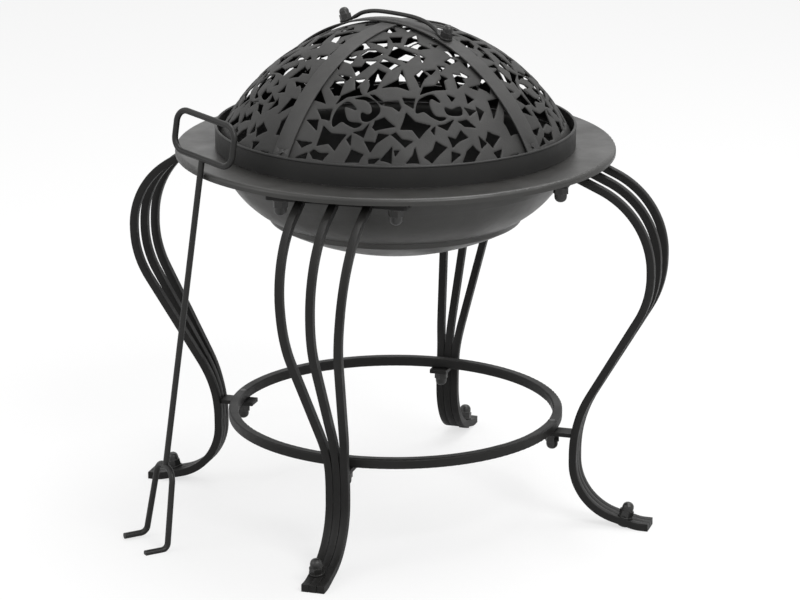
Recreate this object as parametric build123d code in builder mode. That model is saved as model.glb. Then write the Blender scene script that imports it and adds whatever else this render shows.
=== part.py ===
from build123d import *
import os
from math import asin, atan2, cos, degrees, radians, sin, sqrt, tan

# Fire bowl on a four-legged stand, with a pierced dome lid and a poker.
# Millimetres, +Z up, origin on the floor below the middle of the bowl.
# The legs stand on the X and Y axes.

os.makedirs("parts", exist_ok=True)

leg_count = 4
quarter_turn = 360 / leg_count
running_gap = 0.3
seat_gap = 0.1

# bowl: a drawn steel shell with a flat rim and a rolled-down lip
rim_height = 375
rim_radius = 217
bowl_floor_height = 269
bowl_wall = 1.5
bowl_floor_radius = 262
bowl_step_radius = 124
bowl_step_bend = 2
bowl_step_angle = 45
bowl_step_run = 4
bowl_side_radius = 95.2
bowl_shoulder_radius = 25
bowl_shoulder_start_angle = 62
bowl_neck_angle = 85
bowl_neck_bend = 5
lip_bend = 3
lip_depth = 6.6

# leg bars: three square bars to a leg, fanned out towards the rim
bar_width = 7.5
bar_gap = 0.25
bar_pitch = bar_width + bar_gap
leg_bulge_reach = 266.7
leg_waist_reach = 187
leg_toe_reach = 265
leg_toe_flat = 12
leg_shoulder_angle = 24
leg_shin_angle = 60
leg_foot_angle = 14.5
leg_shin_foot_height = 106.3
shoulder_bend = 85
bulge_bend = 96
waist_bend = 126
heel_bend = 56
toe_bend = 40
fan_pitch = 33.1
fan_start_height = 106
fan_slope_angle = 7.7
fan_lower_bend = 200
fan_upper_bend = 1150

# mounting strips below the rim, one to a leg
strip_width = 18
strip_length = 139
strip_thickness = 4.8
strip_corner = 3
strip_drop = 8.5
strip_mid_radius = 183
stud_spacing = 114

# ring that ties the legs together
ring_radius = 168
ring_bar_width = 9.5
ring_bar_height = 10
ring_top_height = 103.3
ring_edge_round = 1.5
tab_width = 18
tab_thickness = 4
tab_overhang = 5

# fasteners: studs and bolts with washers and domed nuts
stud_radius = 4
hole_clearance = 0.3
thread_clearance = 0.05
nut_across_flats = 13
nut_hex_height = 6.5
nut_dome_radius = 6.1
nut_dome_height = 8.5
nut_dome_round = 5.4
nut_bore_depth = 9
washer_radius = 8
washer_thickness = 1.6
foot_bolt_radius = 3
foot_bolt_reach = 239.5
foot_head_radius = 5.5
foot_head_height = 1.8
foot_nut_scale = 0.95

# lid: a band, a pierced dome, two crossing straps and a handle
band_radius = 177.6
band_wall = 1.6
band_height = 20
band_bead_radius = 1.4
dome_radius = 191.3
dome_centre_height = 303.9
dome_wall = 1.6
dome_foot_lift = 4
dome_eye_radius = 9
panel_gap = 1
strap_width = 19
strap_thickness = 1.6
strap_cross_gap = 0.4
strap_foot_lift = 13.5
strap_bearing = 67.2
rivet_radius = 1.6
rivet_head_radius = 2.8
rivet_head_height = 1.4
rivet_lift = 22
handle_span = 126
handle_rod_radius = 2.4
handle_rise = 10.5
handle_bend = 26
handle_eye_radius = 6.5
handle_bolt_radius = 2.5
handle_nut_scale = 0.8

# fretwork of the dome: rows of leaf-shaped piercings
fret_border = 5.5
fret_row_pitch = 13.5
fret_cell_width = 15.5
fret_leaf_length = 16
fret_leaf_width = 8.6
fret_leaf_lean = 38
fret_tip_round = 0.8

# poker: a bent rod with a loop to hold and a two-pronged fork
poker_rod_radius = 3
poker_foot_reach = 263.6
poker_foot_bearing = 45.6
poker_top_bearing = 40.3
poker_loop_turn = 26.4
fork_turn = 42.8
poker_loop_width = 80
poker_loop_height = 40
poker_loop_bend = 13
poker_loop_lift = 14
fork_height = 78
fork_top_spread = 32
fork_foot_spread = 47
fork_top_bend = 13
fork_hook_length = 24
fork_hook_bend = 7


def radial_plane(angle):
    """Upright plane through the centre line: x runs outwards, y runs up."""
    turn = radians(angle)
    return Plane(origin=(0, 0, 0), x_dir=(cos(turn), sin(turn), 0), z_dir=(sin(turn), -cos(turn), 0))


def lateral_plane(angle):
    """Upright plane square to a leg: x runs sideways, y runs up."""
    turn = radians(angle)
    return Plane(origin=(0, 0, 0), x_dir=(-sin(turn), cos(turn), 0), z_dir=(cos(turn), sin(turn), 0))


def level_plane(angle, reach, height):
    """Level plane at a reach from the centre line: x runs outwards."""
    turn = radians(angle)
    origin = (reach * cos(turn), reach * sin(turn), height)
    return Plane(origin=origin, x_dir=(cos(turn), sin(turn), 0), z_dir=(0, 0, 1))


def save(builder, name):
    builder.part.label = name
    export_step(builder.part, f"parts/{name}.step")


leg_names = ["right", "back", "left", "front"]
leg_angles = [quarter_turn * index for index in range(leg_count)]

# bowl shell: the middle line of the sheet, from the floor of the bowl to the lip
rim_under = rim_height - bowl_wall
sheet_mid = bowl_wall / 2
lower_radius = bowl_floor_radius - sheet_mid
lower_sweep = degrees(asin(bowl_step_radius / lower_radius))
neck_top = rim_height - sheet_mid - bowl_neck_bend * (1 - cos(radians(bowl_neck_angle)))
lip_path_radius = rim_radius - sheet_mid

with BuildPart() as bowl:
    with BuildSketch(Plane.XZ):
        with BuildLine():
            cap = JernArc((0, bowl_floor_height + sheet_mid), (1, 0), lower_radius, lower_sweep)
            jog_up = JernArc(cap @ 1, cap % 1, bowl_step_bend, bowl_step_angle)
            jog_rise = Line(jog_up @ 1, (jog_up @ 1) + (jog_up % 1) * bowl_step_run)
            jog_back = JernArc(jog_rise @ 1, jog_rise % 1, bowl_step_bend, -bowl_step_angle)
            side_sweep = bowl_shoulder_start_angle - lower_sweep
            side = JernArc(jog_back @ 1, jog_back % 1, bowl_side_radius, side_sweep)
            shoulder_sweep = bowl_neck_angle - bowl_shoulder_start_angle
            shoulder = JernArc(side @ 1, side % 1, bowl_shoulder_radius, shoulder_sweep)
            neck_rise = neck_top - (shoulder @ 1).Y
            neck_run = neck_rise / tan(radians(bowl_neck_angle))
            neck = Line(shoulder @ 1, (shoulder @ 1) + Vector(neck_run, neck_rise))
            bend = JernArc(neck @ 1, neck % 1, bowl_neck_bend, -bowl_neck_angle)
            flange = Line(bend @ 1, (lip_path_radius - lip_bend, (bend @ 1).Y))
            lip_curve = JernArc(flange @ 1, (1, 0), lip_bend, -90)
            Line(lip_curve @ 1, (lip_path_radius, rim_height - lip_depth))
        trace(line_width=bowl_wall)
    revolve(axis=Axis.Z)
save(bowl, "bowl")

# leg bars: the middle line in the upright plane of the leg, from the strip to the toe
half_bar = bar_width / 2
strip_top = rim_under - strip_drop
strip_bottom = strip_top - strip_thickness
strip_outer_edge = strip_mid_radius + strip_width / 2
bar_top_height = strip_bottom + strip_thickness / 2
shoulder_fall = (leg_bulge_reach - strip_outer_edge) * tan(radians(leg_shoulder_angle))
shin_run = leg_bulge_reach - leg_waist_reach
bulge_foot_height = leg_shin_foot_height + shin_run * tan(radians(leg_shin_angle))
toe_corner_reach = leg_toe_reach - leg_toe_flat
heel_height = half_bar + (toe_corner_reach - leg_waist_reach) * tan(radians(leg_foot_angle))
leg_path = [
    (strip_outer_edge - bar_width, bar_top_height + bar_width * tan(radians(leg_shoulder_angle))),
    (leg_bulge_reach, bar_top_height - shoulder_fall),
    (leg_bulge_reach, bulge_foot_height),
    (leg_waist_reach, leg_shin_foot_height),
    (leg_waist_reach, heel_height),
    (toe_corner_reach, half_bar),
    (leg_toe_reach, half_bar),
]
leg_bends = [shoulder_bend, bulge_bend, waist_bend, heel_bend, toe_bend]
fan_rise = (fan_pitch - bar_pitch) / tan(radians(fan_slope_angle))
foot_bolt_side = bar_pitch / 2
foot_bolt_height = half_bar + (toe_corner_reach - foot_bolt_reach) * tan(radians(leg_foot_angle))


def foot_plane(angle, depth):
    """Plane square to the foot bolt, at a depth below the middle of the bars; x runs to the toe."""
    turn = radians(angle)
    fall = radians(leg_foot_angle)
    reach = foot_bolt_reach - depth * sin(fall)
    x = reach * cos(turn) + foot_bolt_side * sin(turn)
    y = reach * sin(turn) - foot_bolt_side * cos(turn)
    z = foot_bolt_height - depth * cos(fall)
    along = (cos(turn) * cos(fall), sin(turn) * cos(fall), -sin(fall))
    normal = (cos(turn) * sin(fall), sin(turn) * sin(fall), cos(fall))
    return Plane(origin=(x, y, z), x_dir=along, z_dir=normal)


for leg_name, leg_angle in zip(leg_names, leg_angles):
    for bar_name, bar_side in (("bar_a", -1), ("bar_b", 0), ("bar_c", 1)):
        with BuildPart() as leg_bar:
            with BuildSketch(radial_plane(leg_angle)):
                with BuildLine():
                    FilletPolyline(*leg_path, radius=leg_bends)
                trace(line_width=bar_width)
            extrude(amount=fan_pitch + bar_width, both=True)
            with BuildSketch(lateral_plane(leg_angle)):
                if bar_side == 0:
                    with Locations((0, rim_height / 2)):
                        Rectangle(bar_width, rim_height * 1.2)
                else:
                    with BuildLine():
                        FilletPolyline(
                            (bar_side * bar_pitch, -bar_width),
                            (bar_side * bar_pitch, fan_start_height),
                            (bar_side * fan_pitch, fan_start_height + fan_rise),
                            (bar_side * fan_pitch, rim_height + bar_width),
                            radius=[fan_lower_bend, fan_upper_bend],
                        )
                    trace(line_width=bar_width)
            extrude(amount=leg_bulge_reach + bar_width, mode=Mode.INTERSECT)
            with BuildSketch(lateral_plane(leg_angle)):
                with Locations((0, rim_height)):
                    Rectangle(strip_length, 6 * bar_width)
            extrude(amount=strip_outer_edge, mode=Mode.SUBTRACT)
            if bar_side < 1:
                with BuildSketch(foot_plane(leg_angle, bar_width)):
                    Circle(foot_bolt_radius + hole_clearance)
                extrude(amount=bar_width * 2, mode=Mode.SUBTRACT)
        save(leg_bar, f"leg_{leg_name}_{bar_name}")

# mounting strips: one flat strip to a leg, hung from two studs below the rim
for leg_name, leg_angle in zip(leg_names, leg_angles):
    with BuildPart() as strip:
        with BuildSketch(level_plane(leg_angle, strip_mid_radius, strip_bottom)) as strip_face:
            Rectangle(strip_width, strip_length)
            fillet(strip_face.vertices(), strip_corner)
            with Locations((0, -stud_spacing / 2), (0, stud_spacing / 2)):
                Circle(stud_radius + hole_clearance, mode=Mode.SUBTRACT)
        extrude(amount=strip_thickness)
    save(strip, f"leg_{leg_name}_strip")

# ring and the four tabs that tie it to the legs
ring_mid_radius = ring_radius - ring_bar_width / 2
ring_bottom = ring_top_height - ring_bar_height
tab_bottom = ring_bottom - tab_thickness
tab_start = ring_mid_radius - washer_radius - tab_overhang
waist_turn = (90 - leg_shin_angle) / 2
waist_low_height = leg_shin_foot_height - waist_bend * tan(radians(waist_turn))
waist_face_radius = waist_bend + half_bar
waist_face_run = sqrt(waist_face_radius**2 - (tab_bottom - waist_low_height) ** 2)
tab_end = leg_waist_reach + waist_bend - waist_face_run

with BuildPart() as ring:
    with BuildSketch(Plane.XY.offset(ring_bottom)):
        Circle(ring_radius)
        Circle(ring_radius - ring_bar_width, mode=Mode.SUBTRACT)
    extrude(amount=ring_bar_height)
    fillet(ring.edges(), ring_edge_round)
    with BuildSketch(Plane.XY.offset(ring_bottom)):
        with PolarLocations(ring_mid_radius, leg_count):
            Circle(foot_bolt_radius + hole_clearance)
    extrude(amount=ring_bar_height, mode=Mode.SUBTRACT)
save(ring, "ring")

for leg_name, leg_angle in zip(leg_names, leg_angles):
    with BuildPart() as tab:
        with BuildSketch(level_plane(leg_angle, 0, tab_bottom)):
            with Locations(((tab_start + tab_end) / 2, 0)):
                Rectangle(tab_end - tab_start, tab_width)
            with Locations((ring_mid_radius, 0)):
                Circle(foot_bolt_radius + hole_clearance, mode=Mode.SUBTRACT)
        extrude(amount=tab_thickness)
    save(tab, f"leg_{leg_name}_tab")


def domed_nut(scale, bore_radius):
    """Domed nut with its flat face at the origin and its dome along +Z."""
    with BuildPart() as nut:
        with BuildSketch(Plane.XY):
            RegularPolygon(nut_across_flats * scale / 2, 6, major_radius=False)
        extrude(amount=nut_hex_height * scale)
        with BuildSketch(Plane.XY.offset(nut_hex_height * scale)):
            Circle(nut_dome_radius * scale)
        extrude(amount=nut_dome_height * scale)
        fillet(nut.edges().sort_by(Axis.Z)[-1], nut_dome_round * scale)
        with BuildSketch(Plane.XY):
            Circle(bore_radius + thread_clearance)
        extrude(amount=nut_bore_depth * scale, mode=Mode.SUBTRACT)
    return nut.part


# rim fasteners: studs welded under the rim, with spacers, washers and domed nuts
stud_planes = []
for leg_angle in leg_angles:
    for stud_side in (-1, 1):
        leg_turn = radians(leg_angle)
        stud_x = strip_mid_radius * cos(leg_turn) - stud_side * stud_spacing / 2 * sin(leg_turn)
        stud_y = strip_mid_radius * sin(leg_turn) + stud_side * stud_spacing / 2 * cos(leg_turn)
        stud_planes.append((stud_x, stud_y))
rim_washer_bottom = strip_bottom - washer_thickness
rim_stud_length = rim_under - rim_washer_bottom + nut_bore_depth - 1

with BuildPart() as rim_studs:
    with BuildSketch(Plane.XY.offset(rim_under - rim_stud_length)):
        with Locations(*stud_planes):
            Circle(stud_radius)
    extrude(amount=rim_stud_length)
save(rim_studs, "rim_studs")

with BuildPart() as rim_spacers:
    with BuildSketch(Plane.XY.offset(strip_top)):
        with Locations(*stud_planes):
            RegularPolygon(nut_across_flats / 2, 6, major_radius=False)
            Circle(stud_radius + thread_clearance, mode=Mode.SUBTRACT)
    extrude(amount=strip_drop)
save(rim_spacers, "rim_spacers")

with BuildPart() as rim_washers:
    with BuildSketch(Plane.XY.offset(rim_washer_bottom)):
        with Locations(*stud_planes):
            Circle(washer_radius)
            Circle(stud_radius + hole_clearance, mode=Mode.SUBTRACT)
    extrude(amount=washer_thickness)
save(rim_washers, "rim_washers")

rim_nut = domed_nut(1, stud_radius)
with BuildPart() as rim_nuts:
    with Locations(*[Location((x, y, rim_washer_bottom), (180, 0, 0)) for x, y in stud_planes]):
        add(rim_nut)
save(rim_nuts, "rim_nuts")

# ring fasteners: a bolt down through the ring and the tab at each leg
ring_nut_scale = foot_nut_scale
ring_washer_radius = washer_radius * ring_nut_scale
ring_washer_bottom = tab_bottom - washer_thickness
ring_bolt_length = ring_top_height - ring_washer_bottom + nut_bore_depth * ring_nut_scale - 1

with BuildPart() as ring_bolts:
    with BuildSketch(Plane.XY.offset(ring_top_height - ring_bolt_length)):
        with PolarLocations(ring_mid_radius, leg_count):
            Circle(foot_bolt_radius)
    extrude(amount=ring_bolt_length)
save(ring_bolts, "ring_bolts")

with BuildPart() as ring_washers:
    with BuildSketch(Plane.XY.offset(ring_washer_bottom)):
        with PolarLocations(ring_mid_radius, leg_count):
            Circle(ring_washer_radius)
            Circle(foot_bolt_radius + hole_clearance, mode=Mode.SUBTRACT)
    extrude(amount=washer_thickness)
save(ring_washers, "ring_washers")

small_nut = domed_nut(ring_nut_scale, foot_bolt_radius)
with BuildPart() as ring_nuts:
    for leg_angle in leg_angles:
        with Locations(Location(level_plane(leg_angle, ring_mid_radius, ring_washer_bottom)) * Rot(180, 0, 0)):
            add(small_nut)
save(ring_nuts, "ring_nuts")

# foot fasteners: a bolt up through the seam of two bars, square to the sloping foot
foot_stack = half_bar + washer_thickness
foot_bolt_length = bar_width + washer_thickness + nut_bore_depth * foot_nut_scale - 1

with BuildPart() as foot_bolts:
    for leg_angle in leg_angles:
        with BuildSketch(foot_plane(leg_angle, half_bar + foot_head_height)):
            Circle(foot_head_radius)
        extrude(amount=foot_head_height)
        with BuildSketch(foot_plane(leg_angle, half_bar)):
            Circle(foot_bolt_radius)
        extrude(amount=foot_bolt_length)
save(foot_bolts, "foot_bolts")

with BuildPart() as foot_washers:
    for leg_angle in leg_angles:
        with BuildSketch(foot_plane(leg_angle, -half_bar)):
            Circle(ring_washer_radius)
            Circle(foot_bolt_radius + hole_clearance, mode=Mode.SUBTRACT)
        extrude(amount=washer_thickness)
save(foot_washers, "foot_washers")

with BuildPart() as foot_nuts:
    for leg_angle in leg_angles:
        with Locations(Location(foot_plane(leg_angle, -foot_stack))):
            add(small_nut)
save(foot_nuts, "foot_nuts")

# lid band: an upright band with a beaded top edge, standing on the rim
band_bottom = rim_height + running_gap
band_top = band_bottom + band_height
band_mid_radius = band_radius - band_wall / 2

with BuildPart() as lid_band:
    with BuildSketch(Plane.XZ):
        with Locations((band_mid_radius, (band_bottom + band_top) / 2)):
            Rectangle(band_wall, band_height)
        with Locations((band_mid_radius, band_top)):
            Circle(band_bead_radius)
    revolve(axis=Axis.Z)
save(lid_band, "lid_band")

# pierced dome: four panels of one sphere, each a quarter between two straps
band_bore = band_radius - band_wall
dome_foot_height = band_bottom + dome_foot_lift
dome_inner_radius = dome_radius - dome_wall
dome_foot_rise = dome_foot_height - dome_centre_height
foot_colatitude = degrees(atan2(sqrt(dome_radius**2 - dome_foot_rise**2), dome_foot_rise))
eye_colatitude = degrees(asin(dome_eye_radius / dome_radius))
strap_foot_height = band_bottom + strap_foot_lift
rivet_height = band_bottom + rivet_lift
rivet_colatitude = degrees(asin(sqrt(dome_radius**2 - (rivet_height - dome_centre_height) ** 2) / dome_radius))
row_step = degrees(fret_row_pitch / dome_radius)


def dome_plane(bearing, colatitude, radius):
    """Plane that touches a sphere about the dome's centre: y runs up the dome."""
    turn = radians(bearing)
    fall = radians(colatitude)
    normal = Vector(cos(turn) * sin(fall), sin(turn) * sin(fall), cos(fall))
    origin = Vector(0, 0, dome_centre_height) + normal * radius
    return Plane(origin=origin, x_dir=(-sin(turn), cos(turn), 0), z_dir=normal)


def leaf_piercing(bearing, colatitude, lean, length, width):
    """Pointed oval prism that pierces the dome sheet."""
    bow = (length**2 / 4 + width**2 / 4) / width
    with BuildPart() as piercing:
        with BuildSketch(dome_plane(bearing, colatitude, dome_radius - 2 * dome_wall)) as oval:
            with Locations(Rot(0, 0, lean)):
                with Locations((bow - width / 2, 0)):
                    Circle(bow)
                with Locations((width / 2 - bow, 0)):
                    Circle(bow, mode=Mode.INTERSECT)
            fillet(oval.vertices(), fret_tip_round)
        extrude(amount=4 * dome_wall)
    return piercing.part


piercings = []
row = 0
row_colatitude = foot_colatitude - row_step
border = strap_width / 2 + fret_border
while row_colatitude * dome_radius > degrees(border + fret_leaf_length):
    row_radius = dome_radius * sin(radians(row_colatitude))
    usable = radians(quarter_turn) * row_radius - 2 * border
    cells = max(1, int(usable / fret_cell_width))
    cell_angle = degrees(usable / cells / row_radius)
    first = (quarter_turn - cell_angle * (cells - 1)) / 2
    for cell in range(cells):
        lean = fret_leaf_lean if (cell + row) % 2 else -fret_leaf_lean
        bearing = first + cell * cell_angle
        piercings.append(
            leaf_piercing(bearing, row_colatitude, lean, fret_leaf_length, fret_leaf_width)
        )
    row += 1
    row_colatitude -= row_step

with BuildPart() as dome_panel:
    with BuildSketch(Plane.XZ):
        with BuildLine():
            outer = CenterArc((0, dome_centre_height), dome_radius, 90 - foot_colatitude, foot_colatitude - eye_colatitude)
            inner = CenterArc((0, dome_centre_height), dome_inner_radius, 90 - foot_colatitude, foot_colatitude - eye_colatitude)
            Line(outer @ 0, inner @ 0)
            Line(outer @ 1, inner @ 1)
        make_face()
    revolve(axis=Axis.Z, revolution_arc=quarter_turn)
    for seam in (0, quarter_turn):
        with BuildSketch(radial_plane(seam)):
            with Locations((dome_radius / 2, rim_height + dome_radius / 2)):
                Rectangle(dome_radius * 1.2, dome_radius * 1.2)
        extrude(amount=panel_gap / 2, both=True, mode=Mode.SUBTRACT)
        with BuildSketch(dome_plane(seam, rivet_colatitude, dome_inner_radius - dome_wall)):
            Circle(rivet_radius + thread_clearance)
        extrude(amount=4 * dome_wall, mode=Mode.SUBTRACT)
    add(piercings, mode=Mode.SUBTRACT)

panel_start = strap_bearing - quarter_turn
for index, panel_name in enumerate(["right", "back", "left", "front"]):
    with BuildPart() as lid_panel:
        with Locations(Location((0, 0, 0), (0, 0, panel_start + quarter_turn * index))):
            add(dome_panel.part)
    save(lid_panel, f"lid_panel_{panel_name}")

# straps: two bent strips that cross at the crown, the second one over the first
strap_radii = [dome_radius + seat_gap, dome_radius + seat_gap + strap_thickness + strap_cross_gap]
handle_bearing = strap_bearing - quarter_turn
strap_angles = [strap_bearing, handle_bearing]
strap_foot_rise = strap_foot_height - dome_centre_height

for strap_name, strap_radius, strap_angle in zip(["under", "over"], strap_radii, strap_angles):
    rise_angle = degrees(asin(strap_foot_rise / strap_radius))
    strap_outer = strap_radius + strap_thickness
    with BuildPart() as strap:
        with BuildSketch(radial_plane(strap_angle)):
            with BuildLine():
                low = CenterArc((0, dome_centre_height), strap_radius, rise_angle, 180 - 2 * rise_angle)
                high = CenterArc((0, dome_centre_height), strap_outer, rise_angle, 180 - 2 * rise_angle)
                Line(low @ 0, high @ 0)
                Line(low @ 1, high @ 1)
            make_face()
        extrude(amount=strap_width / 2, both=True)
        for end_angle in (strap_angle, strap_angle + 180):
            with BuildSketch(dome_plane(end_angle, rivet_colatitude, dome_radius - dome_wall)):
                Circle(rivet_radius + thread_clearance)
            extrude(amount=4 * dome_wall + strap_thickness, mode=Mode.SUBTRACT)
        if strap_name == "over":
            for end_angle in (strap_angle, strap_angle + 180):
                handle_colatitude = degrees(asin(handle_span / 2 / strap_outer))
                with BuildSketch(dome_plane(end_angle, handle_colatitude, strap_radius - strap_thickness)):
                    Circle(handle_bolt_radius + thread_clearance)
                extrude(amount=4 * strap_thickness, mode=Mode.SUBTRACT)
    save(strap, f"lid_strap_{strap_name}")

# rivets at the strap feet
with BuildPart() as strap_rivets:
    for strap_radius, strap_angle in zip(strap_radii, strap_angles):
        for end_angle in (strap_angle, strap_angle + 180):
            rivet_top = strap_radius + strap_thickness
            with BuildSketch(dome_plane(end_angle, rivet_colatitude, dome_inner_radius)):
                Circle(rivet_radius)
            extrude(amount=rivet_top - dome_inner_radius)
            with BuildSketch(dome_plane(end_angle, rivet_colatitude, rivet_top)):
                Circle(rivet_head_radius)
            extrude(amount=rivet_head_height, taper=30)
save(strap_rivets, "strap_rivets")

# lid handle: a bent rod with flattened ends, bolted along the upper strap
crown_top = dome_centre_height + strap_radii[1] + strap_thickness
handle_top = crown_top + handle_rise
handle_seat = strap_radii[1] + strap_thickness
handle_fall = radians(handle_colatitude)
handle_foot_height = dome_centre_height + handle_seat * cos(handle_fall)
handle_foot_reach = handle_seat * sin(handle_fall)
eye_length = handle_eye_radius * 2
eye_start_reach = handle_foot_reach - eye_length * cos(handle_fall)
eye_start_height = handle_foot_height + eye_length * sin(handle_fall)
rod_mid = handle_rod_radius
rod_start = Vector(eye_start_reach + rod_mid * sin(handle_fall), eye_start_height + rod_mid * cos(handle_fall))

with BuildPart() as lid_handle:
    with BuildLine(radial_plane(handle_bearing)) as handle_path:
        FilletPolyline(
            (rod_start.X, rod_start.Y),
            (handle_foot_reach * 0.55, handle_top - handle_rod_radius),
            (-handle_foot_reach * 0.55, handle_top - handle_rod_radius),
            (-rod_start.X, rod_start.Y),
            radius=handle_bend,
        )
    with BuildSketch(Plane(origin=handle_path.line @ 0, z_dir=handle_path.line % 0)):
        Circle(handle_rod_radius)
    sweep()
    for end_angle in (handle_bearing, handle_bearing + 180):
        with BuildSketch(dome_plane(end_angle, handle_colatitude, handle_seat + seat_gap)):
            Circle(handle_eye_radius)
            with Locations((0, eye_length / 2)):
                Rectangle(2 * handle_rod_radius, eye_length)
            Circle(handle_bolt_radius + thread_clearance, mode=Mode.SUBTRACT)
        extrude(amount=handle_rod_radius)
save(lid_handle, "lid_handle")

handle_eye_top = handle_seat + seat_gap + handle_rod_radius
handle_bolt_bottom = strap_radii[1]
with BuildPart() as handle_bolts:
    for end_angle in (handle_bearing, handle_bearing + 180):
        with BuildSketch(dome_plane(end_angle, handle_colatitude, handle_bolt_bottom)):
            Circle(handle_bolt_radius)
        extrude(amount=handle_eye_top - handle_bolt_bottom + nut_bore_depth * handle_nut_scale - 1)
save(handle_bolts, "handle_bolts")

handle_nut = domed_nut(handle_nut_scale, handle_bolt_radius)
with BuildPart() as handle_nuts:
    for end_angle in (handle_bearing, handle_bearing + 180):
        with Locations(Location(dome_plane(end_angle, handle_colatitude, handle_eye_top))):
            add(handle_nut)
save(handle_nuts, "handle_nuts")

# poker: it stands on the floor and leans on the edge of the rim
foot_bearing = radians(poker_foot_bearing)
top_bearing = radians(poker_top_bearing)
rim_touch = rim_radius + running_gap + poker_rod_radius
poker_foot = Vector(-poker_foot_reach * sin(foot_bearing), -poker_foot_reach * cos(foot_bearing), poker_rod_radius)
poker_touch = Vector(-rim_touch * sin(top_bearing), -rim_touch * cos(top_bearing), rim_height)
poker_axis = (poker_touch - poker_foot).normalized()


def square_to_poker(turn):
    """Direction square to the poker's axis, at a turn from +X towards -Y."""
    level = Vector(cos(radians(turn)), -sin(radians(turn)), 0)
    return (level - poker_axis * level.dot(poker_axis)).normalized()


loop_across = square_to_poker(poker_loop_turn)
fork_across = square_to_poker(fork_turn)
outward = Vector(fork_across.Y, -fork_across.X, 0).normalized()


def poker_point(across, side, along):
    return poker_foot + across * side + poker_axis * along


touch_along = (poker_touch - poker_foot).length
loop_foot_along = touch_along + poker_loop_lift
loop_top_along = loop_foot_along + poker_loop_height
half_loop = poker_loop_width / 2

with BuildPart() as poker_loop:
    with BuildLine() as loop_path:
        FilletPolyline(
            poker_point(loop_across, half_loop, loop_foot_along),
            poker_point(loop_across, half_loop, loop_top_along),
            poker_point(loop_across, -half_loop, loop_top_along),
            poker_point(loop_across, -half_loop, loop_foot_along),
            radius=poker_loop_bend,
            close=True,
        )
    with BuildSketch(Plane(origin=loop_path.line @ 0.5, z_dir=loop_path.line % 0.5)):
        Circle(poker_rod_radius)
    sweep()
save(poker_loop, "poker_loop")

with BuildPart() as poker_fork:
    with BuildLine() as fork_path:
        FilletPolyline(
            poker_point(fork_across, -fork_foot_spread / 2, 0) + outward * fork_hook_length,
            poker_point(fork_across, -fork_foot_spread / 2, 0),
            poker_point(fork_across, -fork_top_spread / 2, fork_height),
            poker_point(fork_across, fork_top_spread / 2, fork_height),
            poker_point(fork_across, fork_foot_spread / 2, 0),
            poker_point(fork_across, fork_foot_spread / 2, 0) + outward * fork_hook_length,
            radius=[fork_hook_bend, fork_top_bend, fork_top_bend, fork_hook_bend],
        )
    with BuildSketch(Plane(origin=fork_path.line @ 0, z_dir=fork_path.line % 0)):
        Circle(poker_rod_radius)
    sweep()
save(poker_fork, "poker_fork")

with BuildPart() as poker_shaft:
    with BuildSketch(Plane(origin=poker_point(fork_across, 0, fork_height), x_dir=fork_across, z_dir=poker_axis)):
        Circle(poker_rod_radius)
    extrude(amount=loop_foot_along - fork_height)
    add(poker_loop.part, mode=Mode.SUBTRACT)
    add(poker_fork.part, mode=Mode.SUBTRACT)
save(poker_shaft, "poker_shaft")
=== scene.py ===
import bpy
import random
from math import cos, pi, radians, sin
import numpy as np
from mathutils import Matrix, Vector


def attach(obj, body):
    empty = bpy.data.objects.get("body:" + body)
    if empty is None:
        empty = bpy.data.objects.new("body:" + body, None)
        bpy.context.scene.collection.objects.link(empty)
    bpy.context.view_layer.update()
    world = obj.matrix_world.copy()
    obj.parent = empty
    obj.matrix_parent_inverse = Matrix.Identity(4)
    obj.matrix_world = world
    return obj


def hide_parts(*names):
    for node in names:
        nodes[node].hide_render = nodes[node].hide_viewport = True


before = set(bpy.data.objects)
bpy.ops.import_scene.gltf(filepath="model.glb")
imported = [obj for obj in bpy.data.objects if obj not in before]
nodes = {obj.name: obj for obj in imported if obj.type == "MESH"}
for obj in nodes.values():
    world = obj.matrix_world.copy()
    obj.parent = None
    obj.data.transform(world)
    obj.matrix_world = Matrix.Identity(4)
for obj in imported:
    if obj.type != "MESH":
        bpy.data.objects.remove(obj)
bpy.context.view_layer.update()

legs = ["right", "back", "left", "front"]


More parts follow.
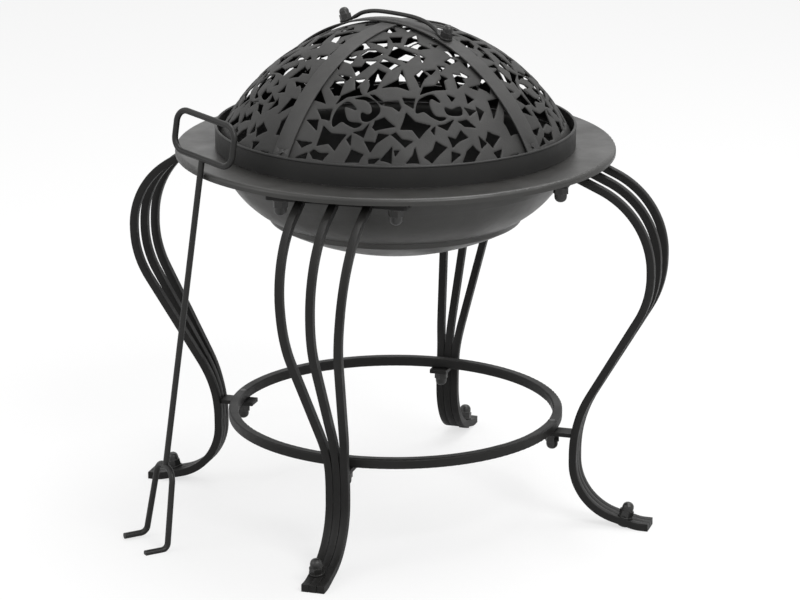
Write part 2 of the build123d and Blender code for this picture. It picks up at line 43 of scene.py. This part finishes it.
# Materials
def painted(name, color, rough, grain=900, bump=0.25, mottle=0.18, wear=0.35,
            wear_color=(0.16, 0.155, 0.15), specular=0.5, dust=0.0, dark_hollow=False):
    """Painted steel: fine orange-peel or powder grain, uneven gloss, paint rubbed thin along the edges."""
    mat = bpy.data.materials.new(name)
    mat.use_nodes = True
    tree = mat.node_tree
    shader = tree.nodes["Principled BSDF"]
    shader.inputs["Specular IOR Level"].default_value = specular
    link = tree.links.new

    def node(kind, **values):
        made = tree.nodes.new(kind)
        for key, value in values.items():
            setattr(made, key, value)
        return made

    def noise(scale, detail, roughness=0.55):
        made = node("ShaderNodeTexNoise")
        made.inputs["Scale"].default_value = scale
        made.inputs["Detail"].default_value = detail
        made.inputs["Roughness"].default_value = roughness
        link(coord.outputs["Object"], made.inputs["Vector"])
        return made.outputs["Fac"]

    def ramp(value, low, high, out_low=0.0, out_high=1.0):
        made = node("ShaderNodeMapRange")
        made.inputs["From Min"].default_value = low
        made.inputs["From Max"].default_value = high
        made.inputs["To Min"].default_value = out_low
        made.inputs["To Max"].default_value = out_high
        link(value, made.inputs["Value"])
        return made.outputs["Result"]

    def mix(fac, a, b):
        made = node("ShaderNodeMix", data_type="RGBA")
        link(fac, made.inputs["Factor"])
        for socket, value in ((made.inputs["A"], a), (made.inputs["B"], b)):
            if isinstance(value, tuple):
                socket.default_value = (*value, 1.0)
            else:
                link(value, socket)
        return made.outputs["Result"]

    def times(a, b):
        made = node("ShaderNodeMath", operation="MULTIPLY")
        link(a, made.inputs[0])
        if isinstance(b, float):
            made.inputs[1].default_value = b
        else:
            link(b, made.inputs[1])
        return made.outputs["Value"]

    coord = node("ShaderNodeTexCoord")
    broad = noise(14, 3)
    dark = tuple(c * (1 - mottle) for c in color)
    light = tuple(c * (1 + mottle) for c in color)
    base = mix(ramp(broad, 0.35, 0.65), dark, light)
    speckle = noise(420, 2, 0.6)
    base = mix(ramp(speckle, 0.62, 0.78, 0.0, 0.35), base, tuple(min(1.0, c * 1.9) for c in color))

    geometry = node("ShaderNodeNewGeometry")
    bevel = node("ShaderNodeBevel", samples=6)
    bevel.inputs["Radius"].default_value = 0.0009
    dot = node("ShaderNodeVectorMath", operation="DOT_PRODUCT")
    link(bevel.outputs["Normal"], dot.inputs[0])
    link(geometry.outputs["Normal"], dot.inputs[1])
    edge = ramp(dot.outputs["Value"], 0.99, 0.80)
    rubbed = ramp(noise(60, 4, 0.7), 0.42, 0.66)
    worn = times(times(edge, rubbed), wear)
    base = mix(worn, base, wear_color)
    if dust > 0:
        axes = node("ShaderNodeSeparateXYZ")
        link(geometry.outputs["Normal"], axes.inputs["Vector"])
        upward = ramp(axes.outputs["Z"], 0.55, 1.0)
        base = mix(times(times(upward, ramp(noise(38, 5, 0.7), 0.45, 0.75)), dust), base, (0.22, 0.21, 0.20))
    gloss = ramp(noise(26, 4), 0.3, 0.7, rough - 0.06, rough + 0.09)
    if dark_hollow:
        # the hollow side of the bowl, below its rim, is painted darker and duller than the rest of the paint
        inward = node("ShaderNodeVectorMath", operation="SUBTRACT")
        inward.inputs[1].default_value = (0, 0, 0.55)
        link(geometry.outputs["Position"], inward.inputs[0])
        facing = node("ShaderNodeVectorMath", operation="DOT_PRODUCT")
        link(inward.outputs["Vector"], facing.inputs[0])
        link(geometry.outputs["Normal"], facing.inputs[1])
        place = node("ShaderNodeSeparateXYZ")
        link(geometry.outputs["Position"], place.inputs["Vector"])
        hollow_mask = times(ramp(facing.outputs["Value"], 0.0, -0.02), ramp(place.outputs["Z"], 0.3738, 0.366))
        base = mix(hollow_mask, base, (0.0045, 0.0043, 0.0040))
        dull = node("ShaderNodeMath", operation="MULTIPLY_ADD")
        link(hollow_mask, dull.inputs[0])
        dull.inputs[1].default_value = 0.42
        link(gloss, dull.inputs[2])
        gloss = dull.outputs["Value"]
    link(base, shader.inputs["Base Color"])

    link(gloss, shader.inputs["Roughness"])
    fine = node("ShaderNodeBump")
    fine.inputs["Strength"].default_value = bump
    fine.inputs["Distance"].default_value = 0.00025
    link(noise(grain, 3, 0.6), fine.inputs["Height"])
    soft = node("ShaderNodeBump")
    soft.inputs["Strength"].default_value = 0.10
    soft.inputs["Distance"].default_value = 0.0012
    link(noise(70, 2), soft.inputs["Height"])
    link(fine.outputs["Normal"], soft.inputs["Normal"])
    link(soft.outputs["Normal"], shader.inputs["Normal"])
    return mat


bowl_paint = painted("bowl_satin_black", (0.022, 0.0215, 0.0198), 0.40, grain=1100, bump=0.16,
                     dust=0.06, dark_hollow=True)
leg_paint = painted("leg_satin_black", (0.0085, 0.0083, 0.0079), 0.50, grain=1300, bump=0.22,
                    specular=0.24, dust=0.04)
rod_paint = painted("rod_satin_black", (0.012, 0.0118, 0.0112), 0.42, grain=1300, bump=0.20, specular=0.34)
fret_paint = painted("fret_textured_black", (0.027, 0.0265, 0.0255), 0.62, grain=750, bump=0.75,
                     mottle=0.22, wear=0.22, specular=0.42)
band_paint = painted("band_satin_black", (0.014, 0.0138, 0.0132), 0.47, grain=1000, bump=0.25,
                     wear=0.5, specular=0.34)
strap_paint = painted("strap_textured_black", (0.034, 0.0335, 0.0325), 0.58, grain=650, bump=0.6,
                      mottle=0.15, dust=0.10, specular=0.42)
nut_finish = painted("fastener_black_oxide", (0.012, 0.0118, 0.0112), 0.36, grain=1500, bump=0.15,
                     wear=0.6, wear_color=(0.20, 0.195, 0.19))
# the inner faces of the lid's fretwork are painted darker and duller than its outer faces
dark_inside_paint = painted("lid_inside_darkened_black", (0.006, 0.0058, 0.0055), 0.86, grain=500, bump=0.8,
                     mottle=0.35, wear=0.05, specular=0.2)


def paint_of(name):
    if name == "bowl":
        return bowl_paint
    if name.startswith("poker"):
        return rod_paint
    if name.startswith("lid_panel"):
        return fret_paint
    if name == "lid_band":
        return band_paint
    if name.startswith("lid_strap"):
        return strap_paint
    if name == "lid_handle":
        return rod_paint
    if "bar_" in name or name == "ring" or name.endswith(("_strip", "_tab")):
        return leg_paint
    return nut_finish


def dress(obj, mat):
    obj.data.materials.clear()
    obj.data.materials.append(mat)


def ease_edges(obj, width, limit=38, segments=2):
    weld = obj.modifiers.new("weld", "WELD")
    weld.merge_threshold = 0.00002
    ease = obj.modifiers.new("ease", "BEVEL")
    ease.width = width
    ease.segments = segments
    ease.limit_method = "ANGLE"
    ease.angle_limit = radians(limit)
    ease.harden_normals = True


for name, obj in nodes.items():
    dress(obj, paint_of(name))
    if "bar_" in name or name.endswith(("_strip", "_tab")):
        ease_edges(obj, 0.0006)
    elif name.endswith("_nuts") or name == "rim_spacers":
        ease_edges(obj, 0.0003)
    elif name.endswith("_washers"):
        ease_edges(obj, 0.0003)
    elif name.startswith("lid_strap"):
        ease_edges(obj, 0.0004)


def make_piece(name, verts, faces, mat, body, smooth=40):
    mesh = bpy.data.meshes.new(name)
    mesh.from_pydata(verts, [], faces)
    mesh.update()
    mesh.materials.append(mat)
    mesh.polygons.foreach_set("use_smooth", [True] * len(mesh.polygons))
    mesh.set_sharp_from_angle(angle=radians(smooth))
    obj = bpy.data.objects.new(name, mesh)
    bpy.context.scene.collection.objects.link(obj)
    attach(obj, body)
    return obj


# Fretwork of the dome
# Corners of the gaps between the leaves, and of the scrolls, of the panel that faces the camera.
# They were read off the photograph, in pixels, and panel_degrees() places them on the dome.
GAP_CORNERS = [
    [(380, 31), (388, 25), (392, 31), (386, 32)],
    [(397, 25), (411, 24), (404, 31)],
    [(364, 41), (383, 39), (383, 48), (376, 44)],
    [(385, 36), (398, 36), (396, 42), (389, 42)],
    [(400, 45), (404, 37), (412, 34), (414, 43), (426, 48), (416, 49)],
    [(349, 51), (354, 42), (361, 42), (366, 47), (358, 49)],
    [(357, 54), (364, 49), (371, 49), (379, 53), (369, 57), (359, 58)],
    [(337, 57), (343, 53), (347, 55), (342, 58)],
    [(337, 60), (353, 54), (347, 63)],
    [(331, 65), (336, 61), (334, 69)],
    [(384, 55), (390, 45), (413, 54), (402, 62)],
    [(348, 66), (357, 66), (362, 60), (373, 60), (361, 68), (352, 75)],
    [(375, 62), (379, 58), (396, 65), (388, 69)],
    [(334, 74), (347, 76), (343, 80)],
    [(374, 68), (382, 72), (372, 88), (363, 92), (366, 84), (364, 78)],
    [(378, 87), (394, 79), (398, 69), (401, 79), (405, 90), (393, 86)],
    [(410, 75), (418, 69), (424, 75), (419, 80), (416, 87)],
    [(325, 87), (330, 80), (341, 80), (335, 95), (330, 95)],
    [(351, 79), (361, 78), (351, 88)],
    [(315, 84), (321, 103), (308, 99)],
    [(331, 104), (337, 95), (355, 87), (358, 94), (343, 96)],
    [(416, 94), (419, 86), (431, 85), (439, 76), (442, 89), (429, 90)],
    [(366, 94), (370, 94), (380, 102), (378, 105)],
    [(381, 101), (394, 100), (397, 107), (395, 111), (388, 106), (380, 105)],
    [(398, 97), (411, 98), (409, 108), (401, 103)],
    [(313, 109), (328, 108), (325, 120), (317, 118)],
    [(302, 119), (314, 119), (312, 130)],
    [(368, 127), (371, 120), (380, 117), (391, 126), (380, 128), (371, 130)],
    [(396, 129), (402, 112), (411, 121), (427, 125), (415, 138), (408, 129)],
    [(433, 125), (441, 124), (450, 119), (443, 130)],
    [(427, 130), (431, 126), (430, 134)],
    [(312, 145), (319, 125), (327, 133), (342, 134), (330, 150), (324, 143)],
    [(342, 139), (347, 134), (346, 145)],
    [(349, 132), (358, 130), (365, 123), (359, 137)],
    [(360, 141), (371, 142), (374, 133), (385, 134), (372, 143), (366, 152)],
    [(387, 134), (391, 132), (398, 139), (409, 141), (401, 147), (394, 140)],
    [(444, 136), (452, 139), (457, 130), (464, 137), (455, 141), (449, 147)],
    [(454, 121), (463, 119), (472, 127), (461, 126)],
    [(292, 140), (308, 142), (297, 147)],
    [(291, 157), (303, 152), (301, 158)],
    [(305, 152), (309, 149), (316, 153), (324, 153), (318, 160), (308, 158)],
    [(340, 162), (347, 149), (359, 154), (354, 162)],
    [(364, 159), (375, 158), (370, 163), (364, 163)],
    [(376, 160), (388, 146), (387, 163)],
    [(390, 150), (395, 150), (391, 156)],
    [(402, 163), (409, 155), (411, 147), (415, 163)],
    [(420, 157), (429, 150), (432, 141), (443, 147), (434, 156), (428, 163)],
    [(448, 151), (457, 154), (448, 162)],
    [(459, 162), (463, 151), (469, 145), (476, 152), (470, 162)],
    [(449, 73), (456, 74), (461, 82), (454, 88)],
    [(456, 71), (465, 76), (459, 78)],
    [(433, 65), (441, 66), (437, 71)],
    [(436, 74), (444, 78), (439, 80)],
    [(440, 61), (447, 57), (455, 60), (445, 64)],
    [(440, 50), (452, 50), (458, 55), (447, 56)],
    [(421, 70), (432, 69), (427, 74)],
    [(416, 54), (421, 57), (418, 62)],
    [(465, 87), (475, 84), (474, 90)],
    [(443, 94), (451, 97), (448, 101)],
    [(457, 61), (468, 63), (463, 67)],
    [(461, 93), (470, 99), (464, 103)],
    [(460, 107), (472, 110), (466, 115)],
    [(479, 75), (488, 79), (486, 93), (475, 87)],
    [(472, 106), (480, 111), (476, 120)],
    [(484, 100), (496, 97), (490, 118)],
    [(500, 108), (512, 118), (516, 133), (507, 135), (500, 122)],
    [(484, 131), (496, 136), (489, 147), (482, 140)],
    [(475, 136), (483, 143), (478, 148)],
    [(490, 152), (498, 149), (496, 161)],
    [(507, 156), (515, 153), (512, 161)],
    [(425, 43), (434, 44), (431, 47)],
    [(428, 34), (434, 37), (430, 39)],
]
CURL_CORNERS = [
    [(328, 118), (334, 107), (344, 101), (352, 109), (341, 106), (341, 114), (345, 121), (357, 123),
     (351, 127), (343, 124), (337, 121), (329, 126)],
    [(351, 98), (362, 96), (373, 103), (375, 112), (366, 120), (358, 120), (357, 112), (364, 114),
     (368, 110), (366, 103), (360, 99)],
    [(412, 112), (414, 101), (420, 96), (429, 94), (436, 102), (427, 98), (425, 104), (431, 115),
     (442, 117), (436, 120), (427, 116), (420, 111)],
    [(441, 107), (448, 109), (456, 106), (458, 114), (449, 115), (443, 113)],
]

READ_BEARING, READ_TILT, READ_DISTANCE = radians(16.36), radians(16.22), 3.3403
READ_TARGET = np.array([0, 0, 0.23795])
READ_FOCAL_PIXELS = 3349.8
READ_MIDDLE_PIXELS = (391.3, 275.96)
READ_DOME_CENTRE = np.array([0, 0, 0.3039])
READ_DOME_RADIUS = 0.1913
READ_PANEL_START = -113.6


def panel_degrees(corners):
    """Pixels to (degrees along the panel, degrees down from the crown), through the fitted camera."""
    arm = np.array([sin(READ_BEARING) * cos(READ_TILT), -cos(READ_BEARING) * cos(READ_TILT), sin(READ_TILT)])
    eye = READ_TARGET + READ_DISTANCE * arm
    ahead = (READ_TARGET - eye) / READ_DISTANCE
    right = np.cross(ahead, (0, 0, 1))
    right = right / np.linalg.norm(right)
    up = np.cross(right, ahead)
    degrees = []
    for column, row in corners:
        across = (column - READ_MIDDLE_PIXELS[0]) / READ_FOCAL_PIXELS
        down = (row - READ_MIDDLE_PIXELS[1]) / READ_FOCAL_PIXELS
        ray = ahead + right * across - up * down
        ray = ray / np.linalg.norm(ray)
        start = eye - READ_DOME_CENTRE
        half = start @ ray
        reach = -half - np.sqrt(half * half - start @ start + READ_DOME_RADIUS ** 2)
        spot = start + ray * reach
        along = (np.degrees(np.arctan2(spot[1], spot[0])) - READ_PANEL_START) % 360
        fall = np.degrees(np.arccos(spot[2] / READ_DOME_RADIUS))
        degrees.append((round(float(along), 1), round(float(fall), 1)))
    return degrees


GAPS = [panel_degrees(corners) for corners in GAP_CORNERS]
CURLS = [panel_degrees(corners) for corners in CURL_CORNERS]

DOME_TOP, DOME_UNDER = 190.55, 189.7
DOME_CENTRE = 303.9
FOOT_FALL = 66.8
EYE_FALL = 2.7
PANEL_START = -22.8
STEP = 1.15


def on_dome(along, fall):
    return np.stack([np.cos(along) * np.sin(fall), np.sin(along) * np.sin(fall), np.cos(fall)], axis=-1)


def gap_outline(corners, bow):
    """Corners joined by sides that bow inwards, as the edges of the leaves around a gap do."""
    middle = corners.mean(axis=0)
    points = []
    for start, end in zip(corners, np.roll(corners, -1, axis=0)):
        half = (start + end) / 2
        pull = half + (middle - half) * bow
        for t in np.linspace(0, 1, 6)[:-1]:
            points.append((1 - t) ** 2 * start + 2 * t * (1 - t) * pull + t * t * end)
    return np.array(points)


def curl_outline(corners):
    """Corners joined by one smooth closed curve."""
    points = []
    count = len(corners)
    for i in range(count):
        a, b, c, d = (corners[(i + k) % count] for k in (-1, 0, 1, 2))
        for t in np.linspace(0, 1, 6)[:-1]:
            points.append(0.5 * (2 * b + (c - a) * t + (2 * a - 5 * b + 4 * c - d) * t * t
                                 + (3 * b - a - 3 * c + d) * t ** 3))
    return np.array(points)


def inside_distance(points, outline):
    """Signed distance to a closed outline, positive inside."""
    near = np.full(len(points), 1e9)
    inside = np.zeros(len(points), bool)
    for a, b in zip(outline, np.roll(outline, -1, axis=0)):
        side = b - a
        rel = points - a
        t = np.clip((rel @ side) / max(side @ side, 1e-9), 0, 1)
        near = np.minimum(near, np.linalg.norm(rel - t[:, None] * side, axis=1))
        crosses = (a[1] > points[:, 1]) != (b[1] > points[:, 1])
        with np.errstate(divide="ignore", invalid="ignore"):
            at = a[0] + (points[:, 1] - a[1]) / (b[1] - a[1]) * side[0]
        inside ^= crosses & (points[:, 0] < at)
    return np.where(inside, near, -near)


def build_panel():
    count = int(DOME_TOP * radians(FOOT_FALL) / STEP) + 3
    gx, gy = np.meshgrid(np.arange(count) * STEP, np.arange(count) * STEP, indexing="ij")
    rho = np.hypot(gx, gy)
    along = np.arctan2(gy, gx)
    fall = rho / DOME_TOP
    place = on_dome(along, fall) * DOME_TOP
    gap = np.full(gx.shape, -12.0)
    for corners, curl in [(g, False) for g in GAPS] + [(c, True) for c in CURLS]:
        angles = np.radians(np.array(corners))
        spots = on_dome(angles[:, 0], angles[:, 1]) * DOME_TOP
        up = spots.mean(axis=0)
        up = up / np.linalg.norm(up)
        right = np.cross((0, 0, 1), up)
        right = right / np.linalg.norm(right)
        rise = np.cross(up, right)
        origin = up * DOME_TOP
        flat = np.stack([(spots - origin) @ right, (spots - origin) @ rise], axis=1)
        outline = curl_outline(flat) if curl else gap_outline(flat, 0.13 if len(flat) < 6 else 0.08)
        reach = np.abs(flat).max() + 12
        near = (np.linalg.norm(place - origin, axis=-1) < reach) & (fall > 0.01)
        rel = place[near] - origin
        local = np.stack([rel @ right, rel @ rise], axis=1)
        gap[near] = np.maximum(gap[near], inside_distance(local, outline))
    seam = DOME_TOP * np.sin(fall)
    solid = np.minimum.reduce([
        seam * np.sin(along) - 0.5, seam * np.cos(along) - 0.5,
        DOME_TOP * radians(FOOT_FALL) - rho, rho - DOME_TOP * radians(EYE_FALL), -gap - 0.4,
    ])
    relief = np.clip(-gap / 3.2, 0, 1)
    relief = 0.62 * np.sqrt(1 - (1 - relief) ** 2)

    verts, faces, known = [], [], {}

    def vertex(key, x, y, lift):
        if key not in known:
            known[key] = len(verts)
            verts.append((x, y, lift))
        return known[key]

    for i in range(count - 1):
        for j in range(count - 1):
            ring = [(i, j), (i + 1, j), (i + 1, j + 1), (i, j + 1)]
            values = [solid[c] for c in ring]
            if max(values) <= 0:
                continue
            face = []
            for k in range(4):
                a, b = ring[k], ring[(k + 1) % 4]
                va, vb = values[k], values[(k + 1) % 4]
                if va > 0:
                    face.append(vertex(a, gx[a], gy[a], relief[a]))
                if (va > 0) != (vb > 0):
                    if a > b:
                        a, b, va, vb = b, a, vb, va
                    t = min(max(va / (va - vb), 0.04), 0.96)
                    face.append(vertex((a, b), gx[a] + (gx[b] - gx[a]) * t, gy[a] + (gy[b] - gy[a]) * t, 0.0))
            if len(face) >= 3:
                faces.append(face)
    flat = np.array(verts)
    rho = np.hypot(flat[:, 0], flat[:, 1])
    along = np.arctan2(flat[:, 1], flat[:, 0])
    top = on_dome(along, rho / DOME_TOP) * (DOME_TOP + flat[:, 2:3])
    under = on_dome(along, rho / DOME_TOP) * DOME_UNDER
    total = len(verts)
    borders = {}
    for face in faces:
        for a, b in zip(face, face[1:] + face[:1]):
            if (b, a) in borders:
                del borders[(b, a)]
            else:
                borders[(a, b)] = True
    shell = [list(f) for f in faces] + [[v + total for v in reversed(f)] for f in faces]
    shell += [[b, a, a + total, b + total] for a, b in borders]
    return np.vstack([top, under]), shell, len(faces)


panel_points, panel_faces, panel_top_count = build_panel()
for index, leg in enumerate(legs):
    turn = radians(PANEL_START + 90 * index)
    x = panel_points[:, 0] * cos(turn) - panel_points[:, 1] * sin(turn)
    y = panel_points[:, 0] * sin(turn) + panel_points[:, 1] * cos(turn)
    z = panel_points[:, 2] + DOME_CENTRE
    verts = (np.stack([x, y, z], axis=1) / 1000).tolist()
    panel = make_piece("fretwork_" + leg, verts, panel_faces, fret_paint, "lid", smooth=50)
    panel.data.materials.append(dark_inside_paint)
    # the inner faces of each panel take the darker, duller paint
    for face in panel.data.polygons[panel_top_count:2 * panel_top_count]:
        face.material_index = 1
    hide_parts("lid_panel_" + leg)


# Lid handle
HANDLE_BEARING = radians(-22.8)
HANDLE_FALL = radians(18.85)
HANDLE_SEAT_RADIUS = 195.15


def smooth_line(points, steps):
    """Catmull-Rom line through points, with its first and last points kept."""
    points = [2 * points[0] - points[1]] + points + [2 * points[-1] - points[-2]]
    line = []
    for a, b, c, d in zip(points, points[1:], points[2:], points[3:]):
        for i in range(steps):
            t = i / steps
            line.append(0.5 * (2 * b + (c - a) * t + (2 * a - 5 * b + 4 * c - d) * t * t
                               + (3 * b - a - 3 * c + d) * t ** 3))
    return line + [points[-2]]


def build_handle():
    """Low arch of round rod whose two ends are hammered flat around the bolts."""
    out = Vector((cos(HANDLE_BEARING), sin(HANDLE_BEARING), 0))
    side = Vector((-sin(HANDLE_BEARING), cos(HANDLE_BEARING), 0))
    half = [(63.6, 489.75), (60.5, 490.85), (56.5, 492.3), (50.5, 495.7),
            (42, 500.3), (29, 503.6), (13, 504.9)]
    flat = [Vector((r, z)) for r, z in half] + [Vector((-r, z)) for r, z in reversed(half)]
    line = smooth_line(flat, 6)
    verts, faces, around = [], [], 16
    for i, spot in enumerate(line):
        ahead = (line[min(i + 1, len(line) - 1)] - line[max(i - 1, 0)]).normalized()
        up = out * -ahead.y + Vector((0, 0, 1)) * ahead.x
        up = -up if up.z < 0 else up
        pressed = min(1, max(0, (abs(spot.x) - 51) / 6))
        pressed = pressed * pressed * (3 - 2 * pressed)
        wide, thick = 2.1 + 2.2 * pressed, 2.1 - 0.95 * pressed
        centre = out * spot.x + Vector((0, 0, spot.y))
        for k in range(around):
            a = 2 * pi * k / around
            verts.append(tuple((centre + side * wide * cos(a) + up * thick * sin(a)) / 1000))
    for i in range(len(line) - 1):
        for k in range(around):
            a, b = i * around + k, i * around + (k + 1) % around
            faces.append([a, b, b + around, a + around])
    for end in (1, -1):
        normal = out * end * sin(HANDLE_FALL) + Vector((0, 0, cos(HANDLE_FALL)))
        fall = out * end * cos(HANDLE_FALL) - Vector((0, 0, sin(HANDLE_FALL)))
        seat = Vector((0, 0, DOME_CENTRE)) + normal * HANDLE_SEAT_RADIUS
        profile = [(2.6, 0.0), (6.1, 0.0), (6.5, 0.4), (6.5, 1.9), (6.1, 2.3), (2.6, 2.3)]
        first, turns = len(verts), 32
        for k in range(turns):
            a = 2 * pi * k / turns
            for radius, lift in profile:
                verts.append(tuple((seat + (side * cos(a) + fall * sin(a)) * radius + normal * lift) / 1000))
        for k in range(turns):
            for j in range(len(profile)):
                m = (j + 1) % len(profile)
                n = (k + 1) % turns
                faces.append([first + k * 6 + j, first + k * 6 + m, first + n * 6 + m, first + n * 6 + j])
    handle = make_piece("handle_rod", verts, faces, rod_paint, "lid", smooth=45)
    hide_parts("lid_handle")


build_handle()


# Weld beads
def bead(verts, faces, start, end, width, seed):
    """Rippled weld bead along a straight line from start to end."""
    rng = random.Random(seed)
    start, end = Vector(start), Vector(end)
    run = end - start
    ahead = run.normalized()
    side = ahead.cross(Vector((0, 0, 1)) if abs(ahead.z) < 0.9 else Vector((1, 0, 0))).normalized()
    up = side.cross(ahead)
    rings, around = max(6, int(run.length / 0.0008)), 10
    first = len(verts)
    for i in range(rings + 1):
        t = i / rings
        ripple = 1 + 0.16 * sin(i * 2.1) + rng.uniform(-0.06, 0.06)
        swell = (0.35 + 0.65 * min(1, 5 * t, 5 * (1 - t)) ** 0.5) * ripple
        for k in range(around):
            a = 2 * pi * k / around
            verts.append(tuple(start + run * t + (side * cos(a) + up * sin(a)) * width * swell))
    for i in range(rings):
        for k in range(around):
            a, b = first + i * around + k, first + i * around + (k + 1) % around
            faces.append([a, b, b + around, a + around])
    faces.append([first + k for k in reversed(range(around))])
    faces.append([first + rings * around + k for k in range(around)])


STRIP_BEAD_REACH, STRIP_BEAD_HALF, STRIP_BEAD_HEIGHTS = 0.1922, 0.0034, (0.36475, 0.35925)
BAR_SPACING = 0.0331
TAB_BEAD_REACH, TAB_BEAD_HALF, TAB_BEAD_HEIGHT = 0.1839, 0.008, 0.0893
BEAD_RADIUS = 0.0010

bead_verts, bead_faces = [], []
for index, leg in enumerate(legs):
    turn = radians(90 * index)
    out = Vector((cos(turn), sin(turn), 0))
    across = Vector((-sin(turn), cos(turn), 0))
    for side in (-1, 0, 1):
        at = out * STRIP_BEAD_REACH + across * side * BAR_SPACING
        for z in STRIP_BEAD_HEIGHTS:
            bead(bead_verts, bead_faces, at - across * STRIP_BEAD_HALF + Vector((0, 0, z)),
                 at + across * STRIP_BEAD_HALF + Vector((0, 0, z)), BEAD_RADIUS, 7 * index + side)
    at = out * TAB_BEAD_REACH + Vector((0, 0, TAB_BEAD_HEIGHT))
    bead(bead_verts, bead_faces, at - across * TAB_BEAD_HALF, at + across * TAB_BEAD_HALF,
         BEAD_RADIUS, 70 + index)
make_piece("weld_beads", bead_verts, bead_faces, leg_paint, "stand", smooth=60)


# Floor, light, camera
def stage_material(name, color, glow, share):
    """Pale matt floor that a camera ray sees mostly as plain white, with the object's shadow kept."""
    mat = bpy.data.materials.new(name)
    mat.use_nodes = True
    tree = mat.node_tree
    tree.nodes.remove(tree.nodes["Principled BSDF"])
    out = tree.nodes["Material Output"]
    plain = tree.nodes.new("ShaderNodeBsdfDiffuse")
    plain.inputs["Color"].default_value = (*color, 1)
    light = tree.nodes.new("ShaderNodeEmission")
    light.inputs["Strength"].default_value = glow
    blend = tree.nodes.new("ShaderNodeMixShader")
    path = tree.nodes.new("ShaderNodeLightPath")
    fac = tree.nodes.new("ShaderNodeMath")
    fac.operation = "MULTIPLY"
    fac.inputs[1].default_value = share
    tree.links.new(path.outputs["Is Camera Ray"], fac.inputs[0])
    tree.links.new(fac.outputs["Value"], blend.inputs["Fac"])
    tree.links.new(plain.outputs["BSDF"], blend.inputs[1])
    tree.links.new(light.outputs["Emission"], blend.inputs[2])
    tree.links.new(blend.outputs["Shader"], out.inputs["Surface"])
    return mat


floor_mesh = bpy.data.meshes.new("floor")
floor_mesh.from_pydata([(-30, -30, 0), (30, -30, 0), (30, 30, 0), (-30, 30, 0)], [], [(0, 1, 2, 3)])
floor = bpy.data.objects.new("floor", floor_mesh)
floor_mesh.materials.append(stage_material("floor_white", (0.80, 0.80, 0.80), 1.12, 0.62))
bpy.context.scene.collection.objects.link(floor)

world = bpy.data.worlds.new("studio")
bpy.context.scene.world = world
world.use_nodes = True
tree = world.node_tree
background = tree.nodes["Background"]
path = tree.nodes.new("ShaderNodeLightPath")
seen = tree.nodes.new("ShaderNodeMath")
seen.operation = "MAXIMUM"
tree.links.new(path.outputs["Is Camera Ray"], seen.inputs[0])
tree.links.new(path.outputs["Is Transmission Ray"], seen.inputs[1])
also = tree.nodes.new("ShaderNodeMath")
also.operation = "MAXIMUM"
tree.links.new(seen.outputs["Value"], also.inputs[0])
tree.links.new(path.outputs["Is Glossy Ray"], also.inputs[1])
level = tree.nodes.new("ShaderNodeMapRange")
level.inputs["To Min"].default_value = 0.5
level.inputs["To Max"].default_value = 1.0
tree.links.new(also.outputs["Value"], level.inputs["Value"])
tree.links.new(level.outputs["Result"], background.inputs["Strength"])
background.inputs["Color"].default_value = (1, 1, 1, 1)


def area(name, place, size, power, toward=(0, 0, 0.3)):
    lamp = bpy.data.lights.new(name, "AREA")
    lamp.shape = "RECTANGLE"
    lamp.size, lamp.size_y = size
    lamp.energy = power
    obj = bpy.data.objects.new(name, lamp)
    obj.location = place
    obj.rotation_euler = (Vector(toward) - Vector(place)).to_track_quat("-Z", "Y").to_euler()
    bpy.context.scene.collection.objects.link(obj)


area("key", (2.0, -1.7, 2.5), (1.6, 1.4), 52)
area("fill", (-2.3, -1.9, 1.8), (1.8, 1.6), 18)
area("top", (0.4, 0.7, 2.7), (1.6, 1.6), 36)

bearing, tilt, distance = radians(17.18), radians(16.22), 3.3403
target = Vector((0, 0, 0.23795))
place = target + distance * Vector((sin(bearing) * cos(tilt), -cos(bearing) * cos(tilt), sin(tilt)))
lens = bpy.data.cameras.new("camera")
lens.lens = 150.74
lens.sensor_width = 36
lens.shift_x = 0.0056
lens.shift_y = -0.0296
camera = bpy.data.objects.new("camera", lens)
camera.location = place
camera.rotation_euler = (target - place).to_track_quat("-Z", "Y").to_euler()
bpy.context.scene.collection.objects.link(camera)
bpy.context.scene.camera = camera
bpy.context.scene.view_settings.view_transform = "Standard"

bpy.context.view_layer.update()
